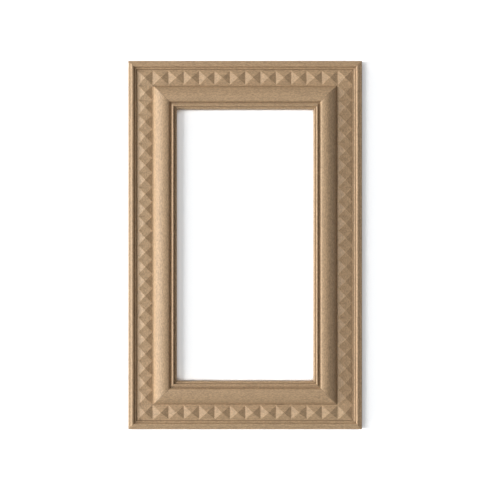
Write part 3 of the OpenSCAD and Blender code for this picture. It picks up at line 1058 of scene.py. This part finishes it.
class MIRRORFRAME_OT_turn_buttons(bpy.types.Operator):
    """Make the ten turn buttons that hold a mirror's backing board"""

    bl_idname = "mirror_frame.turn_buttons"
    bl_label = "Turn Buttons"

    def execute(self, context):
        sizes = context.scene.mirror_frame_fittings
        end_radius, short_arm, long_arm, back_v, front_v = 5.5, -3.5, 14, 2.6, 4.6
        hole_radius, hole_v = 1.83, (2, 5.2)
        pattern = stretched_disc(
            "turn_button_pattern", end_radius, short_arm, long_arm, back_v, front_v,
        )
        round_rims(pattern, sizes.rim_ease, 3)
        cut_away(pattern, rod(hole_radius, *hole_v))
        smooth(pattern, FITTING_SMOOTH)
        for place, (side, along, aim) in BUTTONS.items():
            button = copy_of(pattern, f"turn_button_plate_{place}")
            place_in_mesh(button, button_place(side, along, aim))
            hand_over(button, f"turn_button_{place}", "brass", f"button_{place}")
        bpy.data.objects.remove(pattern)
        return {"FINISHED"}


class MIRRORFRAME_OT_button_screws(bpy.types.Operator):
    """Make the pivot screws of the turn buttons"""

    bl_idname = "mirror_frame.button_screws"
    bl_label = "Button Screws"

    def execute(self, context):
        sizes = context.scene.mirror_frame_fittings
        head_radius, shank_radius = 3.6, 1.75
        head_v, front_v, end_v = 0.8, 2.3, 10
        screw = rod(head_radius, head_v, front_v)
        open_up(screw)
        choose_front(screw)
        bpy.ops.mesh.inset(thickness=(head_radius - shank_radius) * MM, use_boundary=True)
        pull(end_v - front_v)
        put_down()
        round_rims(screw, sizes.head_dome, 5, below_v=head_v + 0.01)
        cut_away(screw, *drive_bars(head_v, sizes.drive_width))
        smooth(screw, FITTING_SMOOTH)
        places = [button_place(*button) for button in BUTTONS.values()]
        screws = join_copies(screw, "turn_button_screws", places)
        hand_over(screws, "frame", "brass", "button_screws")
        return {"FINISHED"}


class MIRRORFRAME_OT_hangers(bpy.types.Operator):
    """Make the two keyhole hanger plates"""

    bl_idname = "mirror_frame.hangers"
    bl_label = "Keyhole Hangers"

    def execute(self, context):
        sizes = context.scene.mirror_frame_fittings
        end_radius, half_length, plate_v = 8, 19, 2
        entry_radius, slot_radius, slot_top = 5, 2.4, 12
        sink_radius, hole_radius, sink_v = 3.61, 1.85, -0.01
        through = (-1, 3)
        pattern = stretched_disc(
            "hanger_pattern", end_radius, -half_length, half_length, 0, plate_v, "Z",
        )
        place_in_mesh(pattern, Matrix.Translation((0, 0, PLATE_MID_Z * MM)))
        round_rims(pattern, sizes.plate_ease, 3, below_v=1)
        slot = stretched_disc("keyhole_slot", slot_radius, 0, slot_top, *through, "Z")
        sinks = [
            countersunk(sink_radius, hole_radius, sink_v, SINK_V, through[1], PLATE_MID_Z + z)
            for z in PLATE_SCREWS
        ]
        cut_away(pattern, rod(entry_radius, *through), slot, *sinks)
        smooth(pattern, FITTING_SMOOTH)
        for side, x in (("left", -HANGER_X), ("right", HANGER_X)):
            plate = copy_of(pattern, f"hanger_plate_{side}")
            place_in_mesh(plate, Matrix.Translation((x * MM, 0, 0)))
            hand_over(plate, "frame", "steel", f"hanger_{side}")
        bpy.data.objects.remove(pattern)
        return {"FINISHED"}


class MIRRORFRAME_OT_hanger_screws(bpy.types.Operator):
    """Make the countersunk screws of the hangers"""

    bl_idname = "mirror_frame.hanger_screws"
    bl_label = "Hanger Screws"

    def execute(self, context):
        sizes = context.scene.mirror_frame_fittings
        head_radius, shank_radius, end_v = 3.5, 1.75, 10
        screw = countersunk(head_radius, shank_radius, 0, SINK_V, end_v)
        round_rims(screw, 0.15 * MM, 2, below_v=0.1)
        cut_away(screw, *drive_bars(0, sizes.drive_width))
        smooth(screw, FITTING_SMOOTH)
        places = [
            Matrix.Translation((x * MM, 0, (PLATE_MID_Z + z) * MM))
            for x in (-HANGER_X, HANGER_X)
            for z in PLATE_SCREWS
        ]
        screws = join_copies(screw, "hanger_plate_screws", places)
        hand_over(screws, "frame", "steel", "hanger_screws")
        return {"FINISHED"}


# Stage


# In metres: the wall's size, how far it stands behind the frame, and the insets from the frame's
# outline between which it is left out, so that the back can be seen from behind.
WALL_SIZE = (2.4, 2.8)
WALL_GAP = 0.2 * MM
WALL_INSETS = (0.4 * MM, 118.5 * MM)

# Each lamp: degrees out from the wall on the left and up from level, width, height and distance in
# metres, and the setting that holds its power.
LAMPS = {
    "low_light": (15.5, 0, 2, 0.4, 12, "low_power"),
    "upper_side_light": (15, 40, 2, 2, 12, "side_power"),
    "lower_side_light": (15, -40, 2, 2, 12, "side_power"),
    "middle_light": (34, 0, 3, 0.4, 12, "middle_power"),
    "high_light": (52, 0, 4.5, 0.4, 12, "high_power"),
    "right_light": (160, 0, 2.4, 2.4, 12, "right_power"),
    "back_light": (-50, 0, 2.4, 2.4, 6, "back_power"),
}

# The picture's width in pixels, the camera's sensor in millimetres, how far in front of the back
# the size of a pixel holds, and how far the camera is off the frame's middle.
PICTURE_W = 490
SENSOR_W = 36
PIXEL_DEPTH = 18.9 * MM
CAMERA_OFF = (-0.35 * MM, 0.23 * MM)


def wall_finish(set_up):
    """Matt white wall, brighter to the camera, with a painted shadow near the frame, and clear from
    behind
    """
    r = Recipe(bpy.data.materials.new("wall_paint"))
    camera, seen = r.seen()
    matt = r.node("ShaderNodeBsdfDiffuse", {"Color": colour4(set_up.wall_colour)})
    reach = {"Distance": set_up.corner_reach}
    # The added light fades out near the frame: a painted shadow along its edges.
    corner = r.node("ShaderNodeAmbientOcclusion", reach, output="AO", samples=16)
    shade = r.mixed(r.step(corner, 0.2, 0.9), (0, 0, 0, 1), colour4(set_up.glow_colour))
    glow = r.node("ShaderNodeEmission", {"Color": shade, "Strength": seen * set_up.wall_glow})
    front = r.node("ShaderNodeAddShader", {0: matt, 1: glow})
    clear = r.node("ShaderNodeBsdfTransparent")
    behind = r.node("ShaderNodeNewGeometry", output="Backfacing") * camera
    wall = r.node("ShaderNodeMixShader", {0: behind, 1: front, 2: clear})
    r.node("ShaderNodeOutputMaterial", {"Surface": wall})
    return r.owner


def build_wall(set_up):
    """Puts up the wall, left out behind the frame's wood."""
    clear_selection()
    middle = (0, WALL_GAP, MIDDLE_Z)
    bpy.ops.mesh.primitive_plane_add(size=1, location=middle, rotation=FACING)
    wall = start_piece("wall", (*WALL_SIZE, 1))
    open_up(wall)
    for inset in WALL_INSETS:
        xs, zs = (LEFT_X + inset, RIGHT_X - inset), (BOTTOM_Z + inset, TOP_Z - inset)
        score(xs, zs, choose_all)

    def within(c, inset):
        return abs(c.x) < FRAME_W / 2 - inset and abs(c.z - MIDDLE_Z) < FRAME_H / 2 - inset

    outer, inner = WALL_INSETS
    if choose_faces(wall, lambda c, n: within(c, outer) and not within(c, inner)) != 8:
        raise RuntimeError("the wall was not laid out behind the frame")
    bpy.ops.mesh.delete(type="FACE")
    put_down()
    wall.data.materials.append(wall_finish(set_up))


def hang_lamp(name, lean, swing, width, height, distance, power):
    """A rectangular light, aimed at the frame's middle"""
    data = bpy.data.lights.new(name, "AREA")
    data.shape = "RECTANGLE"
    data.size, data.size_y, data.energy = width, height, power
    lamp = bpy.data.objects.new(name, data)
    bpy.context.scene.collection.objects.link(lamp)
    out, up = math.radians(lean), math.radians(swing)
    towards = Vector((-math.cos(out) * math.cos(up), -math.sin(out), math.cos(out) * math.sin(up)))
    lamp.location = Vector((0, 0, MIDDLE_Z)) + towards * distance
    lamp.rotation_euler = towards.to_track_quat("Z", "Y").to_euler()


def light_room(set_up):
    """Even light from all round, which the camera sees as white"""
    r = Recipe(bpy.data.worlds.new("room"))
    strength = r.node("ShaderNodeMix", {0: r.seen()[1], 2: set_up.room_light, 3: 1.0})
    light = r.node("ShaderNodeBackground", {"Color": (1, 1, 1, 1), "Strength": strength})
    r.node("ShaderNodeOutputWorld", {"Surface": light})
    bpy.context.scene.world = r.owner


def place_camera(set_up):
    """Stands the camera in front of the frame, so far off that a pixel takes in its set width."""
    data = bpy.data.cameras.new("camera")
    data.lens = set_up.lens
    data.sensor_width = SENSOR_W
    camera = bpy.data.objects.new("camera", data)
    distance = PICTURE_W * set_up.pixel_size * set_up.lens / SENSOR_W
    off_x, off_z = CAMERA_OFF
    camera.location = (off_x, -distance - PIXEL_DEPTH, MIDDLE_Z + off_z)
    camera.rotation_euler = FACING
    bpy.context.scene.collection.objects.link(camera)
    bpy.context.scene.camera = camera


class MIRRORFRAME_OT_stage(bpy.types.Operator):
    """Set up the wall, the light and the camera"""

    bl_idname = "mirror_frame.stage"
    bl_label = "Stage"

    def execute(self, context):
        set_up = context.scene.mirror_frame_stage
        build_wall(set_up)
        for name, (*numbers, power) in LAMPS.items():
            hang_lamp(name, *numbers, getattr(set_up, power))
        light_room(set_up)
        place_camera(set_up)
        context.scene.view_settings.view_transform = "Standard"
        return {"FINISHED"}


STEPS = (
    MIRRORFRAME_OT_outer_moulding,
    MIRRORFRAME_OT_pyramid_band,
    MIRRORFRAME_OT_main_moulding,
    MIRRORFRAME_OT_sight_slip,
    MIRRORFRAME_OT_core,
    MIRRORFRAME_OT_turn_buttons,
    MIRRORFRAME_OT_button_screws,
    MIRRORFRAME_OT_hangers,
    MIRRORFRAME_OT_hanger_screws,
    MIRRORFRAME_OT_stage,
)


class MIRRORFRAME_PT_panel(bpy.types.Panel):
    """Lists the steps that dress the frame"""

    bl_idname = "MIRRORFRAME_PT_panel"
    bl_label = "Mirror Frame"
    bl_space_type = "VIEW_3D"
    bl_region_type = "UI"
    bl_category = "Mirror Frame"

    def draw(self, context):
        for step in STEPS:
            self.layout.operator(step.bl_idname)
        for name, group in SETTINGS.items():
            box = self.layout.box()
            for setting in group.__annotations__:
                box.prop(getattr(context.scene, name), setting)


def register():
    for name, group in SETTINGS.items():
        bpy.utils.register_class(group)
        setattr(bpy.types.Scene, name, bpy.props.PointerProperty(type=group))
    for item in (*STEPS, MIRRORFRAME_PT_panel):
        bpy.utils.register_class(item)


def unregister():
    for item in (MIRRORFRAME_PT_panel, *reversed(STEPS)):
        bpy.utils.unregister_class(item)
    for name, group in reversed(SETTINGS.items()):
        delattr(bpy.types.Scene, name)
        bpy.utils.unregister_class(group)


def main():
    register()
    bpy.ops.mirror_frame.outer_moulding()
    bpy.ops.mirror_frame.pyramid_band()
    bpy.ops.mirror_frame.main_moulding()
    bpy.ops.mirror_frame.sight_slip()
    bpy.ops.mirror_frame.core()
    bpy.ops.mirror_frame.turn_buttons()
    bpy.ops.mirror_frame.button_screws()
    bpy.ops.mirror_frame.hangers()
    bpy.ops.mirror_frame.hanger_screws()
    bpy.ops.mirror_frame.stage()


if __name__ == "__main__":
    main()
